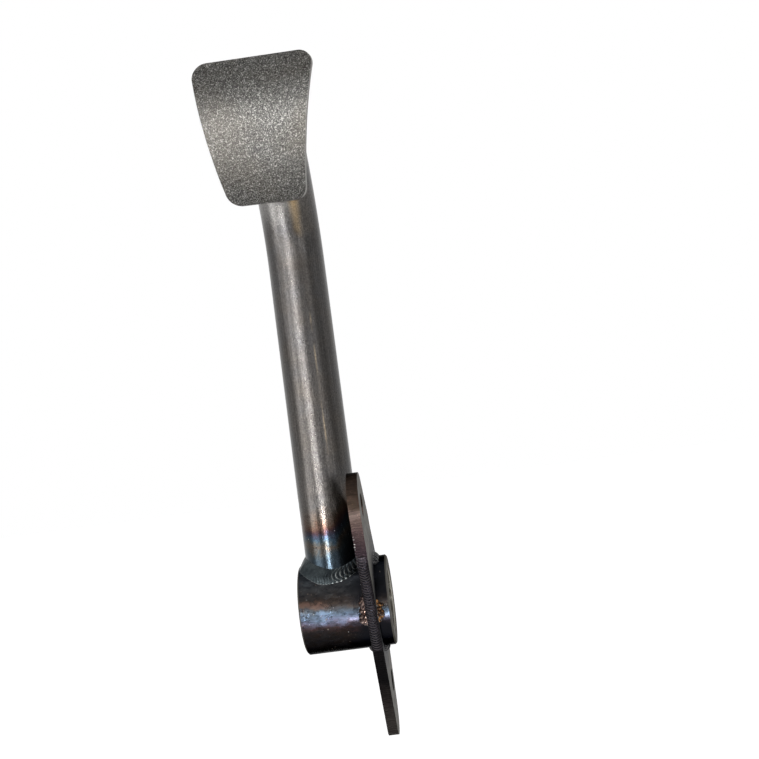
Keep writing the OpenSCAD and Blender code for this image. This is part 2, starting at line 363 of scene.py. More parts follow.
def tubeFinish():
    mat, tree, shader, place = startMetal("armSteel")
    x, y, z = axesOf(tree, place)
    # long draw lines, grey scale streaks and warmer blotches
    lines = speckle(tree, place, tube["drawLines"], 3.0, 0.6)
    streaks = speckle(tree, place, tube["scaleStreaks"], 3.0, 0.65, 0.4)
    blotch = speckle(tree, place, tube["blotches"], 3.0, 0.6)
    colour = blendColour(tree, remap(tree, blotch, 0.35, 0.7), tube["steel"], tube["steelWarm"])
    colour = blendColour(tree, remap(tree, lines, 0.3, 0.75, 0.0, 0.45), colour, tube["scale"])
    streaked = times(tree, remap(tree, streaks, 0.50, 0.64, 0.0, 0.5),
                     remap(tree, z, *metres(tube["streaksFrom"])))
    colour = blendColour(tree, streaked, colour, tube["scale"])
    # brushed near the pad, lightened further as a painted highlight, brightest on the side away from the
    # plate
    brushedSheen = times(tree, fade(tree, z, *metres(tube["brushedSheenFrom"])), fade(tree, x, 0.006, -0.003, 0.15))
    colour = blendColour(tree, times(tree, brushedSheen, 0.7), colour, tube["brushedSheen"])
    # heat tint: bands by height that climb towards the plate's side
    toPlate = fade(tree, x, -0.003, 0.012)
    wander = tube["tintWave"] * mm
    wave = remap(tree, speckle(tree, place, 120.0, 3.0, 0.6), 0.3, 0.7, -wander, wander)
    height = minus(tree, plus(tree, z, wave), times(tree, toPlate, tube["tintClimb"] * mm))
    low, high = metres(tube["tintSpan"])
    heated = fade(tree, height, high, high - tube["tintEdge"] * mm)
    tinted = bands(tree, remap(tree, height, low, high), tube["tints"])
    colour = blendColour(tree, heated, colour, tinted)
    # the side by the plate is burnt darker, and painted darker still as the shade of the gap to the plate
    burntAndShaded = times(tree, toPlate, fade(tree, z, *metres(tube["burntAndShadedBelow"]), 0.0, 0.72))
    colour = blendColour(tree, burntAndShaded, colour, tube["burntAndShaded"])
    # straw tint on the front, where the arm meets the pad
    stripe = fade(tree, apart(tree, x, tube["strawAt"] * mm), tube["strawHalf"] * mm, 0.0)
    straw = times(tree, stripe, fade(tree, plus(tree, z, wave), *metres(tube["strawFrom"])),
                  remap(tree, axesOf(tree, surfaceNormal(tree))[1], -0.1, -0.4))
    colour = blendColour(tree, straw, colour, tube["straw"])
    # a pale broken line on the front, where the tube was rolled shut
    line = fade(tree, apart(tree, x, tube["seamAt"] * mm), tube["seamHalf"] * mm, 0.0)
    broken = remap(tree, speckle(tree, place, tube["seamBreaks"], 3.0, 0.7), 0.46, 0.60)
    seam = times(tree, line, broken, remap(tree, y, 0.0, -0.006), remap(tree, z, *metres(tube["seamFrom"])),
                 remap(tree, z, *metres(tube["seamBelow"])), 0.50)
    colour = blendColour(tree, seam, colour, tube["seam"])
    # close grain over everything, a little longer than wide
    grain = speckle(tree, vectorCalc(tree, "MULTIPLY", place, (1.0, 1.0, 0.7)), tube["grain"], 2.0, 0.6)
    dull = blendColour(tree, 1.0, colour, tube["grainDark"], "MULTIPLY")
    bright = blendColour(tree, 1.0, colour, tube["grainLight"], "MULTIPLY")
    colour = blendColour(tree, remap(tree, grain, 0.38, 0.62), dull, bright)
    fine = speckle(tree, place, tube["fineLines"])
    rough = remap(tree, fine, 0.25, 0.75, tube["roughness"] - 0.06, tube["roughness"] + 0.10)
    rough = minus(tree, rough, times(tree, heated, 0.10))
    # fewer pits where the tube is heated or brushed
    pits = remap(tree, speckle(tree, place, tube["grain"], 2.0, 0.6), 0.3, 0.62)
    smooth = times(tree, calc(tree, "MAXIMUM", heated, brushedSheen), 0.55)
    normal = bump(tree, times(tree, pits, minus(tree, 1.0, smooth)), tube["pit"] * mm, 0.45)
    normal = bump(tree, lines, tube["draw"] * mm, 0.8, normal)
    finishMetal(tree, shader, colour, rough, normal)
    return mat


dress(nodes["arm_tube"], tubeFinish())
print("arm finished")


# pivot hub: turned sleeve with heat tints round it, painted dark on its lower side and lighter where the
# highlight falls, and bright ends
hub = {
    "endSteel": tint(104, 101, 95),
    "endSteelDark": tint(90, 88, 83),
    # lighter than the ends: painted light against the shade inside the bore
    "boreSteelPaintedLight": tint(150, 147, 139),
    # dark scale colour, also laid beside the plate as painted dark reflection
    "scorchAndShade": tint(20, 21, 25),
    "smoke": tint(34, 34, 36),
    "ash": tint(84, 86, 88),
    "speck": tint(88, 80, 74),
    "warm": tint(84, 66, 58),
    "rimShade": (0.30, 0.30, 0.30, 1.0),
    "roughness": 0.26,
    "tintReach": 26.0,         # heights in mm, below and above the axis, that the tints fill
    "tintWave": 3.0,           # how far the tint bands wander, in mm
    "tintWander": (70.0, 110.0, 130.0),
    # heat tint bands with painted shade: dark on the lower side, and a lighter blue band just below the
    # middle, where the highlight falls
    "tints": [
        (0.00, tint(24, 21, 20)), (0.24, tint(25, 22, 21)), (0.31, tint(34, 28, 26)),
        (0.36, tint(52, 38, 38)), (0.42, tint(62, 64, 78)), (0.48, tint(60, 72, 86)),
        (0.53, tint(45, 49, 53)), (0.59, tint(50, 43, 38)), (0.65, tint(50, 44, 41)),
        (0.72, tint(55, 55, 56)), (0.82, tint(50, 53, 56)), (0.89, tint(26, 31, 36)),
        (1.00, tint(50, 56, 61)),
    ],
    "fleck": 0.62,             # how dark the flecks of scale are, 0 to 1
    "warmAt": 4.8,             # height in mm of the warm patch
    "boreAt": 18.0,            # a radius in mm just outside the bore
    "speckHeight": 0.10,       # the last four are heights of relief in mm
    "pimpleHeight": 0.07,
    "ringHeight": 0.03,
    "latheHeight": 0.01,
}


def hubFinish():
    mat, tree, shader, place = startMetal("hubSteel")
    x, y, z = axesOf(tree, place)
    wander = hub["tintWave"] * mm
    wave = remap(tree, speckle(tree, place, hub["tintWander"], 5.0, 0.68), 0.3, 0.7, -wander, wander)
    # the bands rise a little towards the plate's side
    height = plus(tree, z, wave, times(tree, x, 0.05))
    reach = hub["tintReach"] * mm
    # heat tints by height, with painted shade below and a painted highlight band just below the middle
    colour = bands(tree, remap(tree, height, -reach, reach), hub["tints"])
    # grey scale clouds over the tints, dark below and pale above
    cloud = speckle(tree, vectorCalc(tree, "MULTIPLY", place, (0.7, 1.0, 1.6)), 170.0, 5.0, 0.7, 0.6)
    colour = blendColour(tree, remap(tree, cloud, 0.44, 0.62, 0.0, 0.6), colour, hub["smoke"])
    pale = times(tree, remap(tree, cloud, 0.44, 0.34, 0.0, 0.55), fade(tree, height, 0.003, 0.010))
    colour = blendColour(tree, pale, colour, hub["ash"])
    # dark flecks of scale drawn out along the hub
    flecks = speckle(tree, vectorCalc(tree, "MULTIPLY", place, (0.4, 1.0, 1.0)), 560.0, 4.0, 0.7, 0.4)
    colour = blendColour(tree, remap(tree, flecks, 0.50, 0.64, 0.0, hub["fleck"]), colour, hub["scorchAndShade"])
    # a warm patch above the bright band, at the free end
    warm = times(tree, fade(tree, apart(tree, height, hub["warmAt"] * mm), 0.0032, 0.0006),
                 fade(tree, x, -0.006, -0.013, 0.0, 0.85), remap(tree, cloud, 0.62, 0.45, 0.3))
    colour = blendColour(tree, warm, colour, hub["warm"])
    # scorched black beside the plate, with painted dark reflection, but for the tint band round the middle,
    # where the highlight falls
    nearPlate = fade(tree, x, -0.002, 0.012)
    scorched = times(tree, nearPlate, fade(tree, apart(tree, height), 0.003, 0.008), 0.88)
    colour = blendColour(tree, scorched, colour, hub["scorchAndShade"])
    # specks of scale in patches
    speck = times(tree, remap(tree, dots(tree, place, 420.0), 0.22, 0.12),
                  remap(tree, speckle(tree, place, 90.0), 0.55, 0.66))
    colour = blendColour(tree, speck, colour, hub["speck"])
    # bright machined ends and bore, with turning rings on the ends; the bore is lighter still, painted light
    # against its shade
    onEnd = remap(tree, apart(tree, axesOf(tree, surfaceNormal(tree))[0]), 0.5, 0.8)
    radius = reachFrom(tree, y, z)
    inBore = remap(tree, radius, (hub["boreAt"] + 0.2) * mm, (hub["boreAt"] - 0.2) * mm)
    rings = speckle(tree, put(tree, "CombineXYZ", X=times(tree, radius, 2600.0)).outputs[0], 1.0)
    endColour = blendColour(tree, rings, hub["endSteel"], hub["endSteelDark"])
    colour = blendColour(tree, onEnd, colour, endColour)
    colour = blendColour(tree, inBore, colour, hub["boreSteelPaintedLight"])
    grime = speckle(tree, place, 160.0, 4.0, 0.6)
    rough = remap(tree, grime, 0.3, 0.7, hub["roughness"] - 0.06, hub["roughness"] + 0.12)
    rough = minus(tree, rough, times(tree, nearPlate, 0.07))
    rough = plus(tree, rough, times(tree, onEnd, 0.22))
    shader.inputs["Specular Tint"].default_value = hub["rimShade"]
    # relief: lathe marks, specks and grime, rings on the ends, fine pimples at the free end
    machined = calc(tree, "MAXIMUM", inBore, onEnd)
    relief = times(tree, plus(tree, speck, times(tree, grime, 0.4)), minus(tree, 1.0, machined))
    pimpled = times(tree, fade(tree, x, 0.004, -0.008), remap(tree, z, 0.003, -0.002))
    pimples = times(tree, remap(tree, speckle(tree, place, 1100.0), 0.48, 0.66), pimpled)
    normal = bump(tree, speckle(tree, place, (1500.0, 12.0, 12.0)), hub["latheHeight"] * mm, 0.6)
    normal = bump(tree, relief, hub["speckHeight"] * mm, 0.7, normal)
    normal = bump(tree, times(tree, rings, onEnd), hub["ringHeight"] * mm, 0.6, normal)
    normal = bump(tree, pimples, hub["pimpleHeight"] * mm, 0.8, normal)
    finishMetal(tree, shader, colour, rough, normal)
    return mat


dress(nodes["pivot_hub"], hubFinish())
print("hub finished")


# lever plate: mill scale faces and a flame-cut edge with drag lines, scorched by the welds
lever = {
    "face": tint(94, 91, 85),
    "faceDark": tint(62, 59, 55),
    "faceStain": tint(80, 77, 71),
    "faceScorch": tint(28, 28, 32),
    "scorchReach": (46.0, 26.0),   # radii in mm from the hub's axis, where it starts and is full
    "faceRoughness": 0.58,
    "edgeRoughness": 0.46,
    "faceMetal": 0.35,             # mill scale is part oxide
    "cutShade": tint(12, 10, 10),
    "cutPitch": 1.35,              # spacing of the drag lines in mm
    "cutSag": 26.0,                # how far the lines bow across the thickness
    "middle": 15.0,                # middle of the thickness along the hub, in mm
    "hotBelow": (45.0, 28.0),      # heights in mm, where the hot part of the cut starts and is full
    "lineLift": (2.2, 2.1, 2.1),
    "edgeShade": (0.45, 0.45, 0.45, 1.0),
    "tintSpan": (-82.0, 78.0),     # heights in mm that the edge's tints fill
    "tintWave": 2.0,               # how far they wander, in mm
    "tints": [
        (0.00, tint(52, 50, 48)), (0.09, tint(50, 47, 45)), (0.165, tint(34, 31, 30)),
        (0.25, tint(13, 13, 14)), (0.33, tint(14, 14, 15)), (0.39, tint(19, 18, 19)),
        (0.50, tint(25, 26, 29)), (0.5875, tint(22, 19, 19)), (0.6625, tint(28, 28, 31)),
        (0.731, tint(45, 37, 41)), (0.80, tint(76, 62, 61)), (0.831, tint(88, 74, 69)),
        (0.853, tint(112, 97, 91)), (0.872, tint(50, 41, 34)), (0.9125, tint(60, 49, 42)),
        (0.978, tint(29, 24, 21)), (1.00, tint(24, 20, 18)),
    ],
    "cutDepth": 0.16,              # relief of the cut in mm
    "scaleDepth": 0.06,            # relief of the mill scale in mm
}


def leverFinish():
    mat, tree, shader, place = startMetal("plateSteel")
    x, y, z = axesOf(tree, place)
    onFace = remap(tree, apart(tree, axesOf(tree, surfaceNormal(tree))[0]), 0.45, 0.7)
    # faces: mottled mill scale, stained in clouds and scorched round the hub
    scale = speckle(tree, place, 260.0, 5.0, 0.65)
    cloud = speckle(tree, place, 42.0, 3.0)
    faceColour = blendColour(tree, remap(tree, scale, 0.35, 0.65), lever["face"], lever["faceDark"])
    stained = remap(tree, cloud, 0.35, 0.7, 0.0, 0.5)
    faceColour = blendColour(tree, stained, faceColour, lever["faceStain"])
    reach = plus(tree, reachFrom(tree, y, z), remap(tree, cloud, 0.3, 0.7, -0.003, 0.003))
    scorched = fade(tree, reach, *metres(lever["scorchReach"]))
    faceColour = blendColour(tree, scorched, faceColour, lever["faceScorch"])
    # edge: colour by height, with drag lines that bow across the thickness
    wander = lever["tintWave"] * mm
    wave = remap(tree, speckle(tree, place, 140.0), 0.3, 0.7, -wander, wander)
    edgeColour = bands(tree, remap(tree, plus(tree, z, wave), *metres(lever["tintSpan"])), lever["tints"])
    off = minus(tree, x, lever["middle"] * mm)
    uneven = times(tree, speckle(tree, place, 320.0, 3.0, 0.6), 0.0022)
    along = plus(tree, z, times(tree, off, off, lever["cutSag"]), uneven)
    drag = calc(tree, "SINE", times(tree, along, 2.0 * math.pi / (lever["cutPitch"] * mm)))
    cutPlace = put(tree, "CombineXYZ", X=times(tree, x, 60.0), Z=times(tree, along, 2400.0)).outputs[0]
    fineCut = speckle(tree, cutPlace, 1.0)
    edgeColour = blendColour(tree, remap(tree, fineCut, 0.40, 0.60, 0.60, 0.0), edgeColour, lever["cutShade"])
    # the lines show most on the lower half, where the cut was hot
    hotCut = fade(tree, z, *metres(lever["hotBelow"]), 0.15)
    lit = blendColour(tree, 1.0, edgeColour, lever["lineLift"], "MULTIPLY")
    onLine = times(tree, remap(tree, drag, 0.35, 1.0, 0.0, 0.8), hotCut)
    edgeColour = blendColour(tree, onLine, edgeColour, lit)
    grit = remap(tree, speckle(tree, place, 700.0, 3.0, 0.6), 0.58, 0.70, 0.0, 0.8)
    edgeColour = blendColour(tree, grit, edgeColour, lit)
    colour = blendColour(tree, onFace, edgeColour, faceColour)
    tree.links.new(remap(tree, onFace, 0.0, 1.0, 1.0, lever["faceMetal"]), shader.inputs["Metallic"])
    rough = plus(tree, remap(tree, onFace, 0.0, 1.0, lever["edgeRoughness"], lever["faceRoughness"]),
                 remap(tree, scale, 0.3, 0.7, -0.07, 0.09))
    shader.inputs["Specular Tint"].default_value = lever["edgeShade"]
    cut = times(tree, plus(tree, times(tree, drag, hotCut, 0.35), fineCut), minus(tree, 1.0, onFace))
    normal = bump(tree, cut, lever["cutDepth"] * mm, 0.9)
    normal = bump(tree, times(tree, scale, onFace), lever["scaleDepth"] * mm, 0.7, normal)
    finishMetal(tree, shader, colour, rough, normal)
    return mat


dress(nodes["lever_plate"], leverFinish())
print("lever finished")


# pad: coarse blasted plate with a rubbed rim, lightened further as a painted edge highlight
pad = {
    "grainSize": 1500.0,       # grains to the metre
    "dark": tint(38, 38, 37),
    "mid": tint(73, 72, 70),
    "light": tint(144, 142, 138),
    "stain": tint(74, 67, 57),
    # rubbed bare steel on the rim, lightened as a painted edge highlight
    "wornAndGlint": tint(118, 116, 111),
    "roughness": 0.40,
    "grainDepth": 0.30,        # relief in mm
    "pitDepth": 0.06,
    "yaw": -8.0, "lean": 12.5, "roll": 4.0,
    "bowAxis": 80.0,           # from the back of the pad to the axis of its bow, in mm
    "middle": (-11.8, -44.3, 266.5),
}


def padTurn():
    return (Matrix.Rotation(math.radians(pad["yaw"]), 3, "Z")
            @ Matrix.Rotation(math.radians(pad["lean"]), 3, "X")
            @ Matrix.Rotation(math.radians(pad["roll"]), 3, "Y"))


def padRim(tree, place):
    # the face and the back look to or from the bow's axis, the rim doesn't
    turned = padTurn()
    width = tuple(turned @ Vector((1.0, 0.0, 0.0)))
    bowAxis = tuple((Vector(pad["middle"]) + turned @ Vector((0.0, pad["bowAxis"], 0.0))) * mm)
    fromAxis = vectorCalc(tree, "SUBTRACT", place, bowAxis)
    alongWidth = vectorCalc(tree, "DOT_PRODUCT", fromAxis, width, "Value")
    sideways = put(tree, "VectorMath", {"operation": "SCALE"}, i0=width, Scale=alongWidth).outputs[0]
    spoke = vectorCalc(tree, "SUBTRACT", fromAxis, sideways)
    spoke = put(tree, "VectorMath", {"operation": "NORMALIZE"}, i0=spoke).outputs[0]
    facing = vectorCalc(tree, "DOT_PRODUCT", surfaceNormal(tree), spoke, "Value")
    return remap(tree, apart(tree, facing), 0.75, 0.45)


def padFinish():
    mat, tree, shader, place = startMetal("padSteel")
    fine = speckle(tree, place, pad["grainSize"], 2.0, 0.6)
    coarse = speckle(tree, place, pad["grainSize"] * 0.45, 2.0, 0.6)
    grain = plus(tree, times(tree, fine, 0.72), times(tree, coarse, 0.28))
    colour = bands(tree, grain, [(0.0, pad["dark"]), (0.38, pad["dark"]), (0.49, pad["mid"]),
                                 (0.53, pad["mid"]), (0.66, pad["light"])])
    stained = remap(tree, speckle(tree, place, 38.0, 3.0), 0.45, 0.7, 0.0, 0.22)
    colour = blendColour(tree, stained, colour, pad["stain"])
    # the rim: rubbed bare and lightened as a painted edge highlight
    colour = blendColour(tree, padRim(tree, place), colour, pad["wornAndGlint"])
    rough = remap(tree, coarse, 0.3, 0.7, pad["roughness"] - 0.06, pad["roughness"] + 0.10)
    pits = remap(tree, dots(tree, place, pad["grainSize"] * 0.8), 0.1, 0.6)
    normal = bump(tree, grain, pad["grainDepth"] * mm, 0.40)
    normal = bump(tree, pits, pad["pitDepth"] * mm, 0.5, normal)
    finishMetal(tree, shader, colour, rough, normal)
    return mat


dress(nodes["pad_plate"], padFinish())
print("pad finished")


# weld beads: rows of overlapping puddles, finer than the solids they stand for
weld = {
    "pitch": 1.75,             # length of one puddle in mm
    "steps": 14,               # stations along one puddle
    "faceSteps": 14,           # points across the crowned face
    "baseSteps": 4,            # points across the base, where the bead lies on a round
    "valley": 0.13,            # depth of the valley between puddles, part of the leg
    "lipAt": 0.72,             # where along a puddle its bright lip lies, 0 to 1
    "lead": 1.5,               # how far the puddle's middle runs ahead, in puddles
    "crown": 0.36,
    "leverLead": 1.2,
    "leverTaper": 1.3,         # how fast a stitch swells from its ends, in puddles
    "padLeg": 3.5,
    "padSeed": 8.3,
    "padSlant": 1.19,          # how much longer the slanted ring behind the pad is than a circle
    "roughness": 0.27,
    # painted shade in the grooves between puddles
    "grooveShade": tint(16, 17, 20),
    "rimGlint": 0.80,          # how far up a puddle its bright lip starts, 0 to 1
    "frontFrom": (-17.0, -22.0),   # from here forward the stitches show their own tints, in mm
}

# the arm's weld, laid in longer puddles; each pair is read round the arm, from -1 on the
# side away from the plate to 1 by the plate
foot = {
    "pitch": 2.5,
    "crowd": 0.7,              # how much closer the ripples lie away from the plate
    "valley": 0.22,
    "leg": 4.1,
    "wide": 0.35,              # how much wider the smooth part is
    "low": 0.12,               # how much lower the smooth part ends on the tube
    "gap": 18.0,               # degrees left open on each side of the plate
    "seed": 3.1,
    "narrows": (-0.45, 0.10),
    "ripples": (-0.80, -0.15),
    "bolder": (-0.20, 0.12),
    "faint": 0.66,             # how strongly the fine ripples are tinted, 0 to 1
    "toeLine": 0.84,           # how strongly the toe line is tinted, 0 to 1
}

# the stitches on each side of the plate, by degrees up from the front of the hub
stitches = {
    "outer": [
        {"fromDeg": -17, "toDeg": 11, "seed": 1.3, "leg": 3.9, "pitch": 2.9, "lumps": 0.5, "crown": 0.5},
        {"fromDeg": 60, "toDeg": 120, "seed": 2.3, "leg": 3.0, "crown": 0.12},
        {"fromDeg": 240, "toDeg": 290, "seed": 4.3, "leg": 2.8, "lumps": 0.3},
    ],
    "inner": [
        {"fromDeg": -20, "toDeg": 19, "seed": 5.3, "leg": 4.0, "pitch": 2.6, "lumps": 0.5, "crown": 0.5},
        {"fromDeg": 218, "toDeg": 282, "seed": 6.3, "leg": 3.2},
    ],
}

# the solids that the beads lie on, in mm
shape = {
    "hubRadius": 25.0, "hubHalf": 25.0, "hubEdge": 0.8,
    "armRadius": 16.5, "armX": -4.5, "leverX": 12.0, "leverT": 6.0, "skin": 0.04,
    "bendRadius": 88.0, "bendDeg": 45.0, "armRise": 196.0, "armTip": 30.0,
    "seatUp": 13.5, "seatSide": 6.7,
}


def ease(value, low, high):
    # 0 below low, 1 above high, and a soft step between
    t = min(1.0, max(0.0, (value - low) / (high - low)))
    return t * t * (3.0 - 2.0 * t)


def ripple(turns, depth):
    # 1 in the middle of each puddle and less by depth in the sharp valleys
    return 1.0 - depth * (1.0 - abs(math.sin(math.pi * turns)) ** 0.6)


def lipTint(turns):
    # 1 at the lip of each puddle, where a highlight is painted, and 0 half a puddle away, in the groove,
    # where shade is painted
    return 0.5 + 0.5 * math.cos(2 * math.pi * (turns - weld["lipAt"]))


def puddle(s, seed, bead):
    # a ripple with each puddle a little different
    turns = s / bead["pitch"]
    own = noise.noise(Vector((math.floor(turns) * 1.7, seed, 0.0)))
    return ripple(turns, bead["valley"]) + 0.06 * own


def toeWander(s, seed, bead):
    # the bead's edges follow the puddles only a little
    return 1.0 + 0.3 * (puddle(s, seed, bead) - 1.0)


def section(base, toe, s, seed, bead):
    # one cross-section: root corner, toe, crowned face and back along the base, and each point's tint
    root, far = base[0], base[-1]
    out = (toe + far) / 2 - root
    ring, lips = [root, toe], [lipTint(s / bead["pitch"])] * 2
    for k in range(1, weld["faceSteps"]):
        t = k / weld["faceSteps"]
        bulge = 4 * t * (1 - t)
        ahead = s + bead["pitch"] * bead["lead"] * bulge
        level = puddle(ahead, seed, bead)
        rise = bead["crown"] * bulge * level - bulge * (1.0 - level) * 0.5
        ring.append(toe.lerp(far, t) + out * rise)
        lips.append(lipTint(ahead / bead["pitch"]))
    # the toe on the base shows as a thin pale line
    ring.extend(base[:0:-1])
    lips.extend([1.0] + [0.5] * (len(base) - 2))
    return ring, lips


def sweep(rings, closed=False):
    points, faces, lips = [], [], []
    k, n = len(rings[0][0]), len(rings)
    for ring, lip in rings:
        points.extend(tuple(p * mm) for p in ring)
        lips.extend(lip)
    for i in range(n if closed else n - 1):
        for j in range(k):
            a, b = i * k + j, i * k + (j + 1) % k
            c, d = ((i + 1) % n) * k + (j + 1) % k, ((i + 1) % n) * k + j
            faces.append((a, b, c, d))
    if not closed:
        faces.append(tuple(range(k - 1, -1, -1)))
        faces.append(tuple((n - 1) * k + j for j in range(k)))
    return points, faces, lips


def joinBead(name, sweeps, mat, stands=None):
    points, faces, lips = [], [], []
    for ownPoints, ownFaces, ownLips in sweeps:
        start = len(points)
        points.extend(ownPoints)
        lips.extend(ownLips)
        faces.extend(tuple(start + v for v in face) for face in ownFaces)
    mesh = bpy.data.meshes.new(name)
    mesh.from_pydata(points, [], faces)
    mesh.attributes.new("lip", "FLOAT", "POINT").data.foreach_set("value", lips)
    bead = bpy.data.objects.new(name, mesh)
    bpy.context.scene.collection.objects.link(bead)
    bpy.context.view_layer.update()
    bpy.context.view_layer.objects.active = bead
    bpy.ops.object.mode_set(mode="EDIT")
    bpy.ops.mesh.select_all(action="SELECT")
    bpy.ops.mesh.normals_make_consistent(inside=False)
    bpy.ops.object.mode_set(mode="OBJECT")
    for face in mesh.polygons:
        face.use_smooth = True
    mesh.set_sharp_from_angle(angle=math.radians(50))
    dress(bead, mat)
    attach(bead, "root")
    if stands:
        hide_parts(stands)


def footSpot(a, r):
    # a point on the hub, r from the arm's axis, kept between the hub's end and the plate
    low = shape["hubEdge"] + shape["skin"] - shape["hubHalf"]
    high = shape["leverX"] - shape["skin"]
    x = min(high, max(low, shape["armX"] + r * math.cos(a)))
    y = r * math.sin(a)
    return Vector((x, y, math.sqrt((shape["hubRadius"] + shape["skin"]) ** 2 - y ** 2)))


def footBead():
    rings, steps = [], weld["baseSteps"]
    start, span = math.radians(foot["gap"]), math.radians(360 - 2 * foot["gap"])
    length = span * (shape["armRadius"] + foot["leg"] / 2)
    count = round(length / foot["pitch"]) * weld["steps"]
    near = shape["armRadius"] + shape["skin"]
    farToe = weld["faceSteps"] + 1     # number of the toe on the hub in each section
    s = 0.0
    for i in range(count + 1):
        a = start + span * i / count
        # a wide smooth fillet on the far side, then fine ripples, and bold ones by the plate
        narrow, rippled, bold = (ease(math.cos(a), *foot[key]) for key in ("narrows", "ripples", "bolder"))
        s += length / count * (1.0 + foot["crowd"] * (1.0 - bold))
        level = 0.12 + 0.88 * rippled
        bead = {"pitch": foot["pitch"], "valley": foot["valley"] * level,
                "crown": weld["crown"] * level, "lead": weld["lead"]}
        leg = foot["leg"] * toeWander(s, foot["seed"], bead) * (1.0 + foot["wide"] * (1.0 - narrow))
        upLeg = leg * (1.0 - foot["low"] * (1.0 - narrow))
        # the hub falls away under the bead, so the leg is laid along the slope
        y = shape["armRadius"] * math.sin(a)
        fall = y * math.sin(a) / math.sqrt(shape["hubRadius"] ** 2 - y ** 2)
        run = leg / math.sqrt(1 + fall * fall)
        base = [footSpot(a, near + run * t / steps) for t in range(steps + 1)]
        ring, lips = section(base, base[0] + Vector((0, 0, upLeg)), s, foot["seed"], bead)
        shown = rippled * (foot["faint"] + (1.0 - foot["faint"]) * bold)
        strengths = [max(shown, foot["toeLine"]) if k == farToe else shown for k in range(len(lips))]
        rings.append((ring, [0.5 + (lip - 0.5) * share for lip, share in zip(lips, strengths)]))
    return sweep(rings)


def leverBead(side, fromDeg, toDeg, seed, leg, pitch=weld["pitch"], lumps=0.12, crown=weld["crown"]):
    rings = []
    face = shape["leverX"] + (shape["leverT"] if side > 0 else 0.0)
    bead = {"pitch": pitch, "valley": weld["valley"] * (1.0 + lumps), "crown": crown,
            "lead": weld["leverLead"]}
    start, span = math.radians(fromDeg), math.radians(toDeg - fromDeg)
    length = span * (shape["hubRadius"] + leg / 2)
    count = max(3, round(length / pitch)) * weld["steps"]
    near = shape["hubRadius"] + shape["skin"]
    middle = Vector((face + side * shape["skin"], 0, 0))
    for i in range(count + 1):
        s, a = length * i / count, start + span * i / count
        swell = min(s, length - s) / (weld["leverTaper"] * pitch)
        ownLeg = leg * puddle(s, seed, bead) * math.sqrt(max(0.02, min(1.0, swell)))
        ownLeg *= 1.0 + lumps * noise.noise(Vector((s * 0.45, seed, 2.0)))
        spoke = Vector((0, -math.cos(a), math.sin(a)))
        base = [middle + near * spoke, middle + (near + ownLeg) * spoke]
        rings.append(section(base, base[0] + Vector((side * ownLeg, 0, 0)), s, seed, bead))
    return sweep(rings)


def padBead():
    rings = []
    bend = math.radians(shape["bendDeg"])
    end = Vector((shape["armX"], -shape["bendRadius"] * (1 - math.cos(bend)),
                  shape["armRise"] + shape["bendRadius"] * math.sin(bend)))
    way = Vector((0, -math.sin(bend), math.cos(bend)))
    front = Vector((0, -math.cos(bend), -math.sin(bend)))
    turned = padTurn()
    back = turned.transposed()
    backRadius = pad["bowAxis"]
    bead = {key: weld[key] for key in ("pitch", "valley", "crown", "lead")}
    seatDepth = backRadius - math.sqrt(backRadius ** 2 - shape["seatUp"] ** 2)
    seat = Vector((shape["seatSide"], seatDepth, shape["seatUp"]))
    middle = end + shape["armTip"] * way - turned @ seat

    def reach(offset):
        # how far along the arm its line meets the pad's bowed back
        p = back @ (end + offset - middle) - Vector((0, backRadius, 0))
        w = back @ way
        a = w.y * w.y + w.z * w.z
        b = p.y * w.y + p.z * w.z
        c = p.y * p.y + p.z * p.z - backRadius ** 2
        return (math.sqrt(b * b - a * c) - b) / a

    around = math.pi * (2 * shape["armRadius"] + weld["padLeg"]) * weld["padSlant"]
    count = round(around / weld["pitch"]) * weld["steps"]
    for i in range(count):
        s, a = weld["pitch"] * i / weld["steps"], 2 * math.pi * i / count
        out = Vector((math.cos(a), 0, 0)) + math.sin(a) * front
        near = (shape["armRadius"] + shape["skin"]) * out
        tilt = (reach(near + 0.5 * out) - reach(near)) / 0.5
        leg = weld["padLeg"] * toeWander(s, weld["padSeed"], bead)
        far = near + leg / math.sqrt(1 + tilt * tilt) * out
        base = [end + spot + (reach(spot) - shape["skin"]) * way for spot in (near, far)]
        rings.append(section(base, base[0] - leg * way, s, weld["padSeed"], bead))
    return sweep(rings, True)


def weldFinish(name, low, high, lipGlint, front=None):
    mat, tree, shader, place = startMetal(name)
    cloud = remap(tree, speckle(tree, place, 190.0, 3.0, 0.6), 0.35, 0.68)
    colour = blendColour(tree, cloud, low, high)
    if front:
        # the stitches at the front kept their straw and rose tints
        patch = remap(tree, speckle(tree, place, 520.0, 2.0, 0.6), 0.42, 0.60)
        forward = fade(tree, axesOf(tree, place)[1], *metres(weld["frontFrom"]))
        colour = blendColour(tree, forward, colour, blendColour(tree, patch, *front))
    lip = put(tree, "Attribute", {"attribute_name": "lip", "attribute_type": "GEOMETRY"}).outputs["Fac"]
    # a painted highlight on each puddle's lip
    colour = blendColour(tree, fade(tree, lip, weld["rimGlint"], 1.0, 0.0, 0.85), colour, lipGlint)
    # painted shade in the groove between puddles
    colour = blendColour(tree, fade(tree, lip, 0.40, 0.06, 0.0, 0.88), colour, weld["grooveShade"])
    fine = speckle(tree, place, 900.0)
    rough = remap(tree, fine, 0.3, 0.7, weld["roughness"] - 0.05, weld["roughness"] + 0.12)
    finishMetal(tree, shader, colour, rough, bump(tree, fine, 0.03 * mm, 0.6))
    return mat


